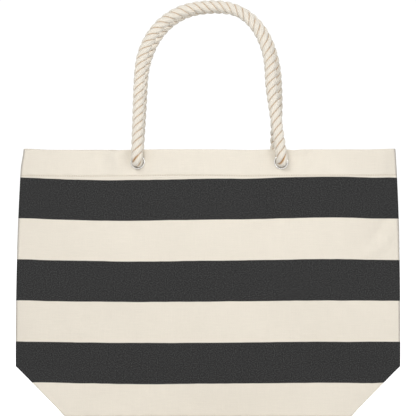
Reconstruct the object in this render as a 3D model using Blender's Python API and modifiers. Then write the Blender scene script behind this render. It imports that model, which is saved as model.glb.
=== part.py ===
"""Beach bag: a boxed canvas tote with broad stripes and two rope handles.

Metres, +Z up, the front faces -Y. The bag stands open on its flat base. Everything on the back is built
in the same frame as the front and turned half a turn about Z.
"""

import math

import bpy
import numpy as np
from mathutils import Matrix, Vector

# Bag body, outside sizes
HEIGHT = 0.380
BASE_HALF_WIDTH = 0.203
BASE_HALF_DEPTH = 0.070
FOOT = 0.0008  # the panels start this far above the ground, level with the base sheet
FOLD_HEIGHT = 0.070  # where the boxed corner meets the side seam
FOLD_HALF_WIDTH = 0.275
MOUTH_NARROWING = 0.0095  # each side, growing towards the hem
NARROWING_POWER = 2.6
MOUTH_INSET = 0.010  # how much shallower the mouth is than the base, each side
BULGE_POWER = 2.3  # section of an open panel: 2 is a parabola, more is flatter in the middle

# Cloth
CLOTH = 0.0012
CLEARANCE = 0.0003
SEAM_HALF_GAP = 0.0015
LAYER_GAP = 0.0008
HEM_DEPTH = 0.037
FACING_REACH = 0.97  # the facing stops short of the side bindings
PANEL_COLUMNS = 16
FOLD_ROWS = 2
WALL_ROWS = 10
GUSSET_INSET = 0.003
BINDING_WIDTH = 0.012
BINDING_INSET = 0.0045
BINDING_FOOT = 0.076
THREAD_RADIUS = 0.0004
THREAD_LIFT = 0.0009

# Eyelets
# Places of a panel's left and right eyelet, seen with that panel in front
FRONT_EYELETS = (-0.100, 0.104)
BACK_EYELETS = (-0.096, 0.100)
EYELET_HEIGHT = 0.362
BORE_RADIUS = 0.0083
BARREL_RADIUS = 0.0089
ROLL_TOP = 0.0050  # depth behind the panel's outer face
# Section of an eyelet as (radius, height): flange in front, barrel, rolled rim behind, bore
EYELET_SECTION = (
    (0.0091, 0.0021), (0.0098, 0.0018), (0.0102, 0.0011), (0.0100, CLEARANCE),
    (BARREL_RADIUS, CLEARANCE), (BARREL_RADIUS, -ROLL_TOP), (0.0105, -ROLL_TOP),
    (0.0105, -0.0058), (0.0099, -0.0062), (0.0088, -0.0062),
    (BORE_RADIUS, -0.0055), (BORE_RADIUS, 0.0013), (0.0086, 0.0019),
)
WASHER_TOP = 0.0039
WASHER_BOTTOM = 0.0047
WASHER_RADIUS = 0.0125
HOLE_RADIUS = 0.0094
CUTTER_DEPTH = 0.030
TURN_STEPS = 20

# Rope
ROPE_RADIUS = 0.0085
THREADED_RADIUS = 0.00775  # squeezed inside the eyelet
KNOT_ROPE_RADIUS = 0.0066
BEND_REACH = 0.0110  # the bend stands this far in front of the panel
STUB_GAP = 0.0088  # the threaded end stops this far from the bend's centre
ROPE_LEAN_START = 0.385
ROPE_LEAN_POWER = 1.15
APEX_OFFSET = 0.012  # each handle's crown stands this far from the middle plane
PATH_STEPS = 2
LEG_STEPS = 3
ARCH_STEPS = 12
BEND_ANGLES = (75, 50, 25)
# Each handle, seen with its own panel in front: straight legs up to the spring line, then two quarter
# superellipses that meet at the crown; a power of 2 is an ellipse, more is squarer at the shoulders
FRONT_ARCH = {
    "crown_x": 0.008, "crown_z": 0.585, "left_x": -0.098, "right_x": 0.090, "spring_z": 0.470, "power": 2.3,
}
BACK_ARCH = {
    "crown_x": -0.013, "crown_z": 0.583, "left_x": -0.099, "right_x": 0.096, "spring_z": 0.450, "power": 2.35,
}

# Stopper knot: an overhand knot drawn up against the washer
KNOT_SAMPLES = 60
KNOT_POINTS = 50
KNOT_CORE_RADIUS = 0.0072
KNOT_LOOP = 0.0075
KNOT_FLATTEN = 0.8
KNOT_SPREAD = 0.35
KNOT_PARAMETER = 2.1
KNOT_START = 0.0065
KNOT_WALL = 0.0068
KNOT_CEILING = 0.0055  # keeps the knot below the top of the hem
KNOT_SINK = 0.0002
KNOT_CENTRE = 0.040
KNOT_TAIL = (0.0, -0.060, 0.020)
KNOT_ROUNDS = 450
KNOT_EASE = 0.3
KNOT_PULL = 0.0003
KNOT_SPACING = 1.03
KNOT_NEIGHBOUR = 0.98
KNOT_PUSHES = 4

# Colours, linear
CREAM = (0.80, 0.76, 0.67, 1.0)
CHARCOAL = (0.042, 0.042, 0.044, 1.0)
ROPE_COTTON = (0.78, 0.70, 0.59, 1.0)
NICKEL = (0.80, 0.80, 0.79, 1.0)
CLOTH_ROUGHNESS = 0.9
METAL_ROUGHNESS = 0.22


def half_width(z):
    """Half the bag's outside width at a height."""
    if z <= FOLD_HEIGHT:
        return BASE_HALF_WIDTH + (FOLD_HALF_WIDTH - BASE_HALF_WIDTH) * z / FOLD_HEIGHT
    rise = (z - FOLD_HEIGHT) / (HEIGHT - FOLD_HEIGHT)
    return FOLD_HALF_WIDTH - MOUTH_NARROWING * rise ** NARROWING_POWER


def panel_face(across, z):
    """Outer face of the front panel; across runs from -1 at the left seam to 1 at the right."""
    edge = SEAM_HALF_GAP + (BASE_HALF_DEPTH - SEAM_HALF_GAP) * max(0.0, 1.0 - z / FOLD_HEIGHT)
    middle = BASE_HALF_DEPTH - MOUTH_INSET * z / HEIGHT
    bulge = 1.0 - abs(across) ** BULGE_POWER
    return Vector((half_width(z) * across, -(edge + (middle - edge) * bulge), z))


def panel_normal(across, z):
    """Unit normal of the front panel, pointing out of the bag."""
    step = 0.001
    sideways = panel_face(across + step, z) - panel_face(across - step, z)
    upwards = panel_face(across, z) - panel_face(across, z - step)
    return sideways.cross(upwards).normalized()


def panel_layer(across, z, inset):
    """A point this far inside the front panel's outer face."""
    return panel_face(across, z) - panel_normal(across, z) * inset


def across_at(x, z):
    return x / half_width(z)


def paint(name, colour, roughness, metallic):
    material = bpy.data.materials.new(name)
    material.use_nodes = True
    shader = material.node_tree.nodes["Principled BSDF"]
    shader.inputs["Base Color"].default_value = colour
    shader.inputs["Roughness"].default_value = roughness
    shader.inputs["Metallic"].default_value = metallic
    material.diffuse_color = colour
    return material


def finish(piece, name, material, parent, collection):
    """Names a piece, paints it and hangs it from its body's empty without moving it."""
    piece.name = name
    piece.data.name = name
    piece.data.materials.clear()
    piece.data.materials.append(material)
    for owner in list(piece.users_collection):
        owner.objects.unlink(piece)
    collection.objects.link(piece)
    piece.parent = parent
    piece.matrix_parent_inverse = parent.matrix_world.inverted()
    return piece


def body_empty(name, place, collection):
    empty = bpy.data.objects.new(name, None)
    empty.matrix_world = Matrix.Translation(place)
    collection.objects.link(empty)
    return empty


def sheet(columns, rows, place, offset):
    """A piece of cloth: a grid laid out by place(u, v), u and v from -1 to 1, given the cloth's thickness."""
    bpy.ops.mesh.primitive_grid_add(x_subdivisions=columns, y_subdivisions=rows, size=2)
    piece = bpy.context.object
    for vertex in piece.data.vertices:
        vertex.co = place(vertex.co.x, vertex.co.y)
    thicken = piece.modifiers.new("thickness", "SOLIDIFY")
    thicken.thickness = CLOTH
    thicken.offset = offset
    thicken.use_even_offset = True
    return piece


def turned(outline, place):
    """A ring turned about its own Z axis from a closed outline of (radius, height) points."""
    mesh = bpy.data.meshes.new("outline")
    count = len(outline)
    edges = [(index, (index + 1) % count) for index in range(count)]
    mesh.from_pydata([(radius, 0.0, height) for radius, height in outline], edges, [])
    piece = bpy.data.objects.new("ring", mesh)
    bpy.context.collection.objects.link(piece)
    screw = piece.modifiers.new("turn", "SCREW")
    screw.axis = "Z"
    screw.steps = TURN_STEPS
    screw.render_steps = TURN_STEPS
    screw.use_merge_vertices = True
    screw.merge_threshold = 0.00001
    piece.matrix_world = place
    return piece


def cord(points, radii, place):
    """A round cord through the points, each with its own radius."""
    curve = bpy.data.curves.new("cord", "CURVE")
    curve.dimensions = "3D"
    curve.bevel_depth = 1.0
    curve.bevel_resolution = 1
    curve.use_fill_caps = True
    spline = curve.splines.new("POLY")
    spline.points.add(len(points) - 1)
    for target, point, radius in zip(spline.points, points, radii):
        target.co = (*point, 1.0)
        target.radius = radius
    piece = bpy.data.objects.new("cord", curve)
    bpy.context.collection.objects.link(piece)
    piece.matrix_world = place
    return piece


def evenly_spaced(points, count):
    lengths = np.linalg.norm(np.diff(points, axis=0), axis=1)
    travelled = np.concatenate([[0.0], np.cumsum(lengths)])
    wanted = np.linspace(0.0, travelled[-1], count)
    return np.stack([np.interp(wanted, travelled, points[:, axis]) for axis in range(3)], axis=1)


def stopper_knot():
    """Centreline of the knot: x across, y up, z into the bag from the panel's outer face."""
    turn = np.linspace(-KNOT_PARAMETER, KNOT_PARAMETER, KNOT_SAMPLES)
    loop_x = (turn ** 3 - 3.0 * turn) * KNOT_LOOP
    loop_y = (10.0 * turn - turn ** 5) * KNOT_LOOP * KNOT_SPREAD
    loop_z = KNOT_CENTRE - (turn ** 4 - 4.0 * turn ** 2) * KNOT_LOOP * KNOT_FLATTEN
    loop = np.stack([loop_x, loop_y, loop_z], axis=1)
    first = np.array([0.0, 0.0, KNOT_START])
    lead = np.array([first, first + (0.0, 0.0, KNOT_START)])
    path = evenly_spaced(np.vstack([lead, loop, [KNOT_TAIL]]), KNOT_POINTS)
    spacing = 2.0 * KNOT_CORE_RADIUS * KNOT_SPACING
    order = np.arange(KNOT_POINTS)
    apart = np.abs(order[:, None] - order[None, :])
    for _ in range(KNOT_ROUNDS):
        path[1:-1] += KNOT_EASE * ((path[:-2] + path[2:]) / 2.0 - path[1:-1])
        path[3:, 2] -= KNOT_PULL
        for _ in range(KNOT_PUSHES):
            between = path[:, None] - path[None, :]
            distance = np.linalg.norm(between, axis=2)
            link = np.linalg.norm(np.diff(path, axis=0), axis=1).mean()
            touching = (apart * link > math.pi * KNOT_CORE_RADIUS * KNOT_NEIGHBOUR) & (distance < spacing)
            share = np.where(touching, (spacing - distance) / np.maximum(distance, 1e-9), 0.0)
            push = (share[:, :, None] * between).sum(axis=1)
            path[2:] += (0.5 * push / np.maximum(touching.sum(axis=1), 1)[:, None])[2:]
            path[4:, 2] = np.maximum(path[4:, 2], KNOT_WALL + KNOT_CORE_RADIUS)
            path[2:, 1] -= np.clip(path[2:, 1] - KNOT_CEILING, 0.0, KNOT_SINK)
        path = evenly_spaced(path, KNOT_POINTS)
        path[0] = first
        path[1, :2] = 0.0
    return path


def through(way, steps):
    """A smooth line through the points (Catmull-Rom)."""
    ends = [way[0] * 2 - way[1], *way, way[-1] * 2 - way[-2]]
    line = []
    for index in range(1, len(ends) - 2):
        before, start, end, after = ends[index - 1:index + 3]
        for step in range(steps):
            t = step / steps
            line.append(0.5 * (
                2 * start
                + (end - before) * t
                + (2 * before - 5 * start + 4 * end - after) * t ** 2
                + (3 * start - before - 3 * end + after) * t ** 3
            ))
    line.append(way[-1])
    return line


def eyelet_frame(x):
    """Local frame on the panel: X to the right, Y up, Z out of the bag."""
    across = across_at(x, EYELET_HEIGHT)
    outward = panel_normal(across, EYELET_HEIGHT)
    right = Vector((0.0, 0.0, 1.0)).cross(outward).normalized()
    up = outward.cross(right)
    frame = Matrix((right, up, outward)).transposed().to_4x4()
    return Matrix.Translation(panel_face(across, EYELET_HEIGHT)) @ frame


def bend_centre(x):
    return eyelet_frame(x) @ Vector((0.0, 0.0, BEND_REACH))


def handle_outline(left, right, crown_x, crown_z, left_x, right_x, spring_z, power):
    """A handle's outline seen from the front, from the left bend to the right one."""
    arch = []
    for step in range(ARCH_STEPS + 1):
        angle = math.pi * step / ARCH_STEPS
        leg_x = left_x if 2 * step < ARCH_STEPS else right_x
        x = crown_x + (leg_x - crown_x) * abs(math.cos(angle)) ** (2.0 / power)
        z = spring_z + (crown_z - spring_z) * math.sin(angle) ** (2.0 / power)
        arch.append(Vector((x, 0.0, z)))
    left_foot = Vector((left.x, 0.0, left.z))
    right_foot = Vector((right.x, 0.0, right.z))
    shares = [step / LEG_STEPS for step in range(LEG_STEPS)]
    left_leg = [left_foot.lerp(arch[0], share) for share in shares]
    right_leg = [right_foot.lerp(arch[-1], share) for share in reversed(shares)]
    return left_leg + arch + right_leg


def handle_line(arch, left, right):
    """Centreline of a handle from bend to bend, leaning over the mouth above the hem."""
    line = through(handle_outline(left, right, **arch), PATH_STEPS)
    rise = arch["crown_z"] - ROPE_LEAN_START
    for point in line:
        lean = max(0.0, (point.z - ROPE_LEAN_START) / rise) ** ROPE_LEAN_POWER
        point.y = left.y + (-APEX_OFFSET - left.y) * min(1.0, lean)
    return line


def build_side(side, turn, eyelets, arch, paints, collection, base):
    """One panel with its hem, eyelets, rope ends and handle; turn places it at the front or the back."""
    panel_body = body_empty(f"{side}_body", turn @ Vector((0.0, -BASE_HALF_DEPTH, 0.0)), collection)
    panel_body.parent = base

    def panel_place(u, v):
        if v < row_split:
            z = FOOT + (FOLD_HEIGHT - FOOT) * (v + 1.0) / (row_split + 1.0)
        else:
            z = FOLD_HEIGHT + (HEIGHT - FOLD_HEIGHT) * (v - row_split) / (1.0 - row_split)
        return turn @ panel_face(u, z)

    def facing_place(u, v):
        z = HEIGHT - HEM_DEPTH * (1.0 - v) / 2.0
        return turn @ panel_layer(u * FACING_REACH, z, CLOTH + LAYER_GAP)

    row_split = 2.0 * FOLD_ROWS / (FOLD_ROWS + WALL_ROWS) - 1.0
    panel = sheet(PANEL_COLUMNS, FOLD_ROWS + WALL_ROWS, panel_place, -1.0)
    facing = sheet(PANEL_COLUMNS, 1, facing_place, -1.0)
    for x in eyelets:
        bpy.ops.mesh.primitive_cylinder_add(vertices=TURN_STEPS, radius=HOLE_RADIUS, depth=CUTTER_DEPTH)
        cutter = bpy.context.object
        cutter.name = f"{side}_hole_{'left' if x < 0 else 'right'}"
        cutter.matrix_world = turn @ eyelet_frame(x)
        cutter.display_type = "WIRE"
        cutter.hide_render = True
        bpy.context.collection.objects.unlink(cutter)
        cutters.objects.link(cutter)
        for cloth in (panel, facing):
            cut = cloth.modifiers.new("hole", "BOOLEAN")
            cut.operation = "DIFFERENCE"
            cut.solver = "EXACT"
            cut.object = cutter
    finish(panel, f"{side}_panel", paints["stripe"], panel_body, collection)
    finish(facing, f"{side}_hem_facing", paints["cloth"], panel_body, collection)

    stitch_z = HEIGHT - HEM_DEPTH
    columns = [2.0 * column / PANEL_COLUMNS - 1.0 for column in range(1, PANEL_COLUMNS)]
    seam = [panel_layer(u, stitch_z, -THREAD_LIFT) for u in columns]
    thread = cord(seam, [THREAD_RADIUS] * len(seam), turn)
    finish(thread, f"{side}_hem_stitch", paints["thread"], panel_body, collection)

    for hand, x in zip(("left", "right"), eyelets):
        frame = turn @ eyelet_frame(x)
        rim = turned(EYELET_SECTION, frame)
        finish(rim, f"{side}_{hand}_eyelet", paints["metal"], panel_body, collection)
        flat_ring = (
            (WASHER_RADIUS, -WASHER_TOP), (WASHER_RADIUS, -WASHER_BOTTOM),
            (HOLE_RADIUS, -WASHER_BOTTOM), (HOLE_RADIUS, -WASHER_TOP),
        )
        finish(turned(flat_ring, frame), f"{side}_{hand}_washer", paints["metal"], panel_body, collection)
        mirror = 1.0 if hand == "left" else -1.0
        knot = [Vector((mirror * point[0], point[1], -point[2])) for point in stopper_knot()]
        stub = Vector((0.0, 0.0, BEND_REACH - STUB_GAP))
        radii = [THREADED_RADIUS, THREADED_RADIUS] + [KNOT_ROPE_RADIUS] * (len(knot) - 1)
        tail = cord([stub, *knot], radii, frame)
        finish(tail, f"{side}_{hand}_rope_end", paints["rope"], panel_body, collection)

    left, right = [bend_centre(x) for x in eyelets]
    hinge = Vector(((left.x + right.x) / 2.0, min(left.y, right.y), (left.z + right.z) / 2.0))
    left.y = hinge.y
    right.y = hinge.y
    line = handle_line(arch, left, right)
    bend = [math.radians(angle) for angle in BEND_ANGLES]
    start = [left - Vector((0.0, 0.0, ROPE_RADIUS * math.sin(angle))) for angle in bend]
    end = [right - Vector((0.0, 0.0, ROPE_RADIUS * math.sin(angle))) for angle in reversed(bend)]
    ends = [ROPE_RADIUS * math.cos(angle) for angle in bend]
    radii = ends + [ROPE_RADIUS] * len(line) + ends[::-1]
    handle_body = body_empty(f"{side}_handle_body", turn @ hinge, collection)
    handle_body.parent = panel_body
    handle_body.matrix_parent_inverse = panel_body.matrix_world.inverted()
    handle = cord([*start, *line, *end], radii, turn)
    handle.data.bevel_resolution = 2
    finish(handle, f"{side}_handle", paints["rope"], handle_body, collection)


def build_base(turn_round, paints, collection, base):
    """The flat base, and at each end the folded corner and the binding of the side seam."""
    bpy.ops.mesh.primitive_cube_add(size=1.0)
    floor = bpy.context.object
    width = 2.0 * (BASE_HALF_WIDTH - GUSSET_INSET)
    depth = 2.0 * (BASE_HALF_DEPTH - GUSSET_INSET)
    for vertex in floor.data.vertices:
        vertex.co = (vertex.co.x * width, vertex.co.y * depth, (vertex.co.z + 0.5) * CLOTH)
    finish(floor, "base_panel", paints["cloth"], base, collection)

    run = FOLD_HALF_WIDTH - BASE_HALF_WIDTH
    slope = math.hypot(run, FOLD_HEIGHT)
    flank = math.hypot(slope, BASE_HALF_DEPTH)
    inradius = BASE_HALF_DEPTH * slope / (BASE_HALF_DEPTH + flank)
    shrink = 1.0 - GUSSET_INSET / inradius
    corners = ((0.0, -BASE_HALF_DEPTH), (slope, 0.0), (0.0, BASE_HALF_DEPTH))
    uphill = Vector((run, 0.0, FOLD_HEIGHT)).normalized()
    sideways = Vector((0.0, 1.0, 0.0))
    inward = uphill.cross(sideways)
    tilt = Matrix((uphill, sideways, inward)).transposed().to_4x4()
    seat = Vector((BASE_HALF_WIDTH, 0.0, 0.0)) + inward * (CLOTH / 2.0)

    def binding_place(u, v):
        z = BINDING_FOOT + (HEIGHT - CLEARANCE - BINDING_FOOT) * (v + 1.0) / 2.0
        return Vector((half_width(z) - BINDING_INSET - BINDING_WIDTH * (1.0 - u) / 2.0, 0.0, z))

    for hand, turn in (("right", Matrix.Identity(4)), ("left", turn_round)):
        curve = bpy.data.curves.new("gusset", "CURVE")
        curve.dimensions = "2D"
        curve.fill_mode = "BOTH"
        curve.extrude = CLOTH / 2.0
        spline = curve.splines.new("POLY")
        spline.use_cyclic_u = True
        spline.points.add(len(corners) - 1)
        for target, (along, aside) in zip(spline.points, corners):
            target.co = (inradius + (along - inradius) * shrink, aside * shrink, 0.0, 1.0)
        gusset = bpy.data.objects.new("gusset", curve)
        bpy.context.collection.objects.link(gusset)
        gusset.matrix_world = turn @ Matrix.Translation(seat) @ tilt
        finish(gusset, f"{hand}_gusset", paints["cloth"], base, collection)
        binding = sheet(1, WALL_ROWS, binding_place, 0.0)
        binding.matrix_world = turn
        finish(binding, f"{hand}_side_binding", paints["binding"], base, collection)


for old in list(bpy.data.objects):
    bpy.data.objects.remove(old)
bag = bpy.data.collections.new("beach_bag")
bpy.context.scene.collection.children.link(bag)
cutters = bpy.data.collections.new("cutters")
bpy.context.scene.collection.children.link(cutters)
cutters.hide_render = True

finishes = {
    "stripe": paint("striped_canvas", CREAM, CLOTH_ROUGHNESS, 0.0),
    "cloth": paint("cream_canvas", CREAM, CLOTH_ROUGHNESS, 0.0),
    "binding": paint("seam_binding", CREAM, CLOTH_ROUGHNESS, 0.0),
    "thread": paint("sewing_thread", CREAM, CLOTH_ROUGHNESS, 0.0),
    "rope": paint("cotton_rope", ROPE_COTTON, CLOTH_ROUGHNESS, 0.0),
    "metal": paint("eyelet_metal", NICKEL, METAL_ROUGHNESS, 1.0),
}
half_turn = Matrix.Rotation(math.pi, 4, "Z")
root = body_empty("base_body", (0.0, 0.0, 0.0), bag)
build_base(half_turn, finishes, bag, root)
build_side("front", Matrix.Identity(4), FRONT_EYELETS, FRONT_ARCH, finishes, bag, root)
build_side("back", half_turn, BACK_EYELETS, BACK_ARCH, finishes, bag, root)
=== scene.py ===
"""Looks of the beach bag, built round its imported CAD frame.

Metres, +Z up, the front faces -Y. Everything on the back is made in the same frame as the front and
turned half a turn about Z.
"""

import math

import bmesh
import bpy
import numpy as np
from mathutils import Matrix, Vector, noise


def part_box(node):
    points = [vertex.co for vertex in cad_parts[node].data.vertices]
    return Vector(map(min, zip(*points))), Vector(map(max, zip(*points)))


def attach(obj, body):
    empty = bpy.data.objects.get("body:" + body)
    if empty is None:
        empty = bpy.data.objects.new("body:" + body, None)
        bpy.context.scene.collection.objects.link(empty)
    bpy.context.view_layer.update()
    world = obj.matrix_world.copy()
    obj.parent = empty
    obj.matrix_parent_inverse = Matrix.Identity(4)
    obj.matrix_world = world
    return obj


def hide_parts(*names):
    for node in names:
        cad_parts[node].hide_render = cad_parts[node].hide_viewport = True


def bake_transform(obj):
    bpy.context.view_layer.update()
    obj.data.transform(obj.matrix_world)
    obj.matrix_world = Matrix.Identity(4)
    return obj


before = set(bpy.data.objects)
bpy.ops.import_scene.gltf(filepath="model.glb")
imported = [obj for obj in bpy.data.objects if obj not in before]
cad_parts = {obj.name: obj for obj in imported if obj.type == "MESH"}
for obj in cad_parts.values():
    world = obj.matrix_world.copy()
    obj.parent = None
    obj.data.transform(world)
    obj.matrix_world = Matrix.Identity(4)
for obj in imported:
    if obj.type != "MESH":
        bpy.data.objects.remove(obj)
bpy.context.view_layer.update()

# The shell, read from the frame
panel_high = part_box("front_panel")[1]
facing_low, facing_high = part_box("front_hem_facing")
base_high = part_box("base_panel")[1]
HEIGHT = facing_high[2]
HEM_DEPTH = facing_high[2] - facing_low[2]
STITCH_Z = HEIGHT - HEM_DEPTH
BASE_HALF_DEPTH = 0.070
BASE_END_GAP = 0.003  # the CAD's base panel stops this far short of the boxed ends
BASE_HALF_WIDTH = base_high[0] + BASE_END_GAP
FOLD_HEIGHT = BASE_HALF_DEPTH
FOLD_HALF_WIDTH = panel_high[0]
MOUTH_NARROWING = 0.0080
MOUTH_SHIFT = 0.0010  # the mouth sits this far to the right, seen from the front
HEM_TAPER = 0.0024  # the hem's left end is drawn in by this much more
NARROWING_POWER = 2.6
MOUTH_INSET = 0.010
BULGE_POWER = 2.3
NEAR_ZERO = 1e-9
EDGE_GAP = 0.00002  # from each panel to the side seam's plane: sewn shut, no light between them

# Cloth
CLOTH = 0.0011
HEM_ROUND = 0.0013  # radius of the fold at the top of the hem
HEM_TUCK = 0.004  # the turned hem runs this far past its stitches
CELL = 0.0039
HEM_STEP = 0.0008  # the hem is three layers thick down to its raw edge
STITCH_GROOVE = 0.0007
SEAM_BAND = 0.006
SEAM_CELL = 0.0009
SEAM_DIP = 0.0012
SEAM_DIP_REACH = 0.004
SEAM_DIP_RISE = 0.01  # dip and sag grow to their full size over these heights from the foot
END_SAG = 0.0016  # the boxed ends' cloth sinks in by this much
END_SAG_RISE = 0.03
THREAD_PITCH = 0.00095
PERIOD = 0.1166
STRIPE_HALF = 0.02915
STRIPE_BLUR = 0.00035
FIRST_STRIPE = 0.0469
STITCH_PITCH = 0.0034
STITCH_LENGTH = 0.0026
STITCH_RADIUS = 0.00042
STITCH_SIDES = 6
STITCH_END_GAP = 0.004  # from the last stitch to the side seam
STITCH_SPOTS = 200
STITCH_NUDGE = 0.0004  # the thread's direction is taken between points this far to each side
# One stitch: how far along it, how far out in thread radii, and how thick
STITCH_SHAPE = ((0.0, -1.2, 0.6), (0.12, 0.1, 0.95), (0.5, 0.75, 1.0), (0.88, 0.1, 0.95), (1.0, -1.2, 0.6))
HEM_ROUND_STEPS = 7
SOFT_REACH = 0.008  # the cloth is smoothed this far to each side of a 45-degree fold
SOFT_START = 0.004  # from the foot up
SOFT_END = 0.002  # and down from the fold's apex
SOFT_ROUNDS = 3

# Eyelets
# Places of a panel's eyelets, seen with that panel in front
EYELETS = {"front": {"left": -0.100, "right": 0.104}, "back": {"left": -0.096, "right": 0.100}}
EYELET_HEIGHT = 0.362
BORE_RADIUS = 0.0083
HOLE_CORE = 0.0078  # the cloth is opened round this radius
HOLE_REACH = 0.018
HOLE_CLEAR = 0.0092
HOLE_RIM = 0.0095  # where the cut edge lies, between the barrel and the flange's rim
LATHE_STEPS = 72
# Sections, as (radius, height out of the panel's face): arcs give centre, radius, angles and steps
FLANGE_ARC = ((0.0093, 0.0004), 0.0010, 160.0, -8.0, 10)
BARREL = ((0.0101, 0.0002), (0.0089, 0.0003), (0.0089, -0.0046))
ROLLED_ARC = ((0.0093, -0.0051), 0.0010, 30.0, -200.0, 12)
BORE = ((BORE_RADIUS, -0.0045), (BORE_RADIUS, 0.0004))
WASHER = (
    (0.0093, -0.0034), (0.0121, -0.0033), (0.0125, -0.0036),
    (0.0125, -0.0039), (0.0121, -0.0042), (0.0093, -0.0041),
)

# Rope
ROPE_RADIUS = 0.0086
STRAND_RADIUS = 0.0043
LAY = 0.034
BEND_REACH = 0.0110
BEND_RADIUS = 0.0090
SPLIT_DEPTH = 0.0020  # each handle meets its rope end this far inside the panel's face
THREADED_SCALE = 0.93
KNOT_SCALE = 0.80
ROPE_LEAN_START = 0.385
ROPE_LEAN_POWER = 1.15
APEX_OFFSET = 0.012
ROPE_STEP = 0.0016
STRAND_SIDES = 18
YARNS = 9
YARN_SLANT = 38.0
STRAND_SWELL = 0.03  # each strand grows and shrinks by this share, at this rate and out of step
SWELL_RATE = 5.3
SWELL_SHIFT = 2.1
STRAND_FLAT = 0.10  # the strands are flattened by this share where they press on each other
BORE_SQUEEZE = (-0.012, 0.000)  # depths into the bag between which the rope is squeezed
KNOT_SQUEEZE = (0.004, 0.016)
LAY_START = {"front": 0.0, "back": 0.4}  # where in its twist each rope begins
LEG_STEPS = 3
ARCH_STEPS = 12
SMOOTH_STEPS = 10
BEND_STEPS = 12
# Each handle, seen with its own panel in front: straight legs up to the spring line, then two quarter
# superellipses that meet at the crown; a power of 2 is an ellipse, more is squarer at the shoulders
HANDLE_ARCH = {
    "front": {
        "crown_x": 0.008, "crown_z": 0.585, "left_x": -0.098, "right_x": 0.090, "spring_z": 0.470,
        "power": 2.3,
    },
    "back": {
        "crown_x": -0.013, "crown_z": 0.583, "left_x": -0.099, "right_x": 0.096, "spring_z": 0.450,
        "power": 2.35,
    },
}

# Stopper knot: an overhand knot drawn up against the washer
KNOT_POINTS = 50
KNOT_CORE_RADIUS = 0.0072
KNOT_LOOP = 0.0075
KNOT_FLATTEN = 0.8
KNOT_SPREAD = 0.35
KNOT_PARAMETER = 2.1
KNOT_START = 0.0065
KNOT_WALL = 0.0068
KNOT_CEILING = 0.0055
KNOT_SINK = 0.0002
KNOT_CENTRE = 0.040
KNOT_TAIL = (0.0, -0.060, 0.020)
KNOT_ROUNDS = 450
KNOT_EASE = 0.3
KNOT_PULL = 0.0003
KNOT_SPACING = 1.03
KNOT_NEIGHBOUR = 0.98
KNOT_PUSHES = 4

# Tapes
TAPE_LANES = 4
TAPE_CELL = 0.004
TAPE_THICKNESS = 0.0016
TAPE_SWAY = 0.0012
SIDE_TAPE_WIDTH = 0.011
SIDE_TAPE_INSET = 0.0046
SIDE_TAPE_START = FOLD_HEIGHT + 0.004
SIDE_TAPE_END = HEIGHT - 0.002
SIDE_TAPE_CELL = 0.006
CORNER_TAPE_WIDTH = 0.010
CORNER_TAPE_INSET = 0.0032
CORNER_TAPE_Z = 0.0034
CORNER_TAPE_HALF = 0.056
CORNER_TAPE_WAY = (-0.35, 0.0, 0.94)

# Base
BASE_SIDE_GAP = 0.0002
BASE_RAISED = 0.0011
BASE_RUMPLE = 0.0010
BASE_EDGE = 0.03  # the rumples fade out over this much at the edges
BASE_SEAM = 0.0008
BASE_SEAM_WIDTH = 0.0016
BASE_CLOTH_START = -0.2  # cloth coordinate of the base's middle, clear of the stripes

# Colours, linear
CREAM = (0.795, 0.736, 0.636, 1.0)
CHARCOAL = (0.0172, 0.0172, 0.0172, 1.0)
ROPE_COTTON = (0.778, 0.724, 0.632, 1.0)
# painted shade: the rope's colour deep in the grooves between its strands
ROPE_GROOVE_SHADE = (0.490, 0.280, 0.105, 1.0)
FADED_CHARCOAL = (0.115, 0.115, 0.115, 1.0)
SPECK = (0.300, 0.190, 0.110, 1.0)
SEAM_SHADE = (0.420, 0.320, 0.220, 1.0)
PLATING = ((0.86, 0.855, 0.84, 1.0), (0.92, 0.915, 0.905, 1.0))
# painted shade and highlight: the thread's colour between its plies, then on their crowns
THREAD = ((0.62, 0.56, 0.46, 1.0), (0.82, 0.77, 0.68, 1.0))
WHITE = (1.0, 1.0, 1.0, 1.0)


# ---- shape of the shell


def half_width(z):
    """Half the bag's outside width at a height."""
    if z <= FOLD_HEIGHT:
        return BASE_HALF_WIDTH + (FOLD_HALF_WIDTH - BASE_HALF_WIDTH) * z / FOLD_HEIGHT
    rise = (z - FOLD_HEIGHT) / (HEIGHT - FOLD_HEIGHT)
    return FOLD_HALF_WIDTH - MOUTH_NARROWING * rise ** NARROWING_POWER


def corner_half_depth(z):
    """Half depth of the boxed end at a height; none above the fold."""
    return EDGE_GAP + (BASE_HALF_DEPTH - EDGE_GAP) * max(0.0, 1.0 - z / FOLD_HEIGHT)


def panel_face(across, z):
    """Smooth outer face of the front panel; across runs from -1 at the left seam to 1 at the right."""
    edge = corner_half_depth(z)
    middle = BASE_HALF_DEPTH - MOUTH_INSET * z / HEIGHT
    bulge = 1.0 - abs(across) ** BULGE_POWER
    return Vector((half_width(z) * across, -(edge + (middle - edge) * bulge), z))


def panel_normal(across, z):
    """Unit normal of the smooth front panel, pointing out of the bag."""
    step = 0.001
    sideways = panel_face(across + step, z) - panel_face(across - step, z)
    upwards = panel_face(across, z + step) - panel_face(across, z - step)
    return sideways.cross(upwards).normalized()


def ease(value, low, high):
    """0 below low, 1 above high, smooth between."""
    t = min(1.0, max(0.0, (value - low) / (high - low)))
    return t * t * (3.0 - 2.0 * t)


def bell(value, centre, width):
    """1 at the centre, falling to nothing on both sides."""
    return math.exp(-((value - centre) / width) ** 2)


def ridge(x, z, start, end, width, lift):
    """A crease of the cloth: a rounded ridge from start to end, or a valley where lift is negative."""
    run = (end[0] - start[0], end[1] - start[1])
    length = math.hypot(*run)
    along = ((x - start[0]) * run[0] + (z - start[1]) * run[1]) / length
    aside = ((x - start[0]) * run[1] - (z - start[1]) * run[0]) / length
    fade = ease(along, -0.5 * width, 0.35 * length) * (1.0 - ease(along, 0.65 * length, length + 0.5 * width))
    return lift * fade * bell(aside, 0.0, width)


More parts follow.
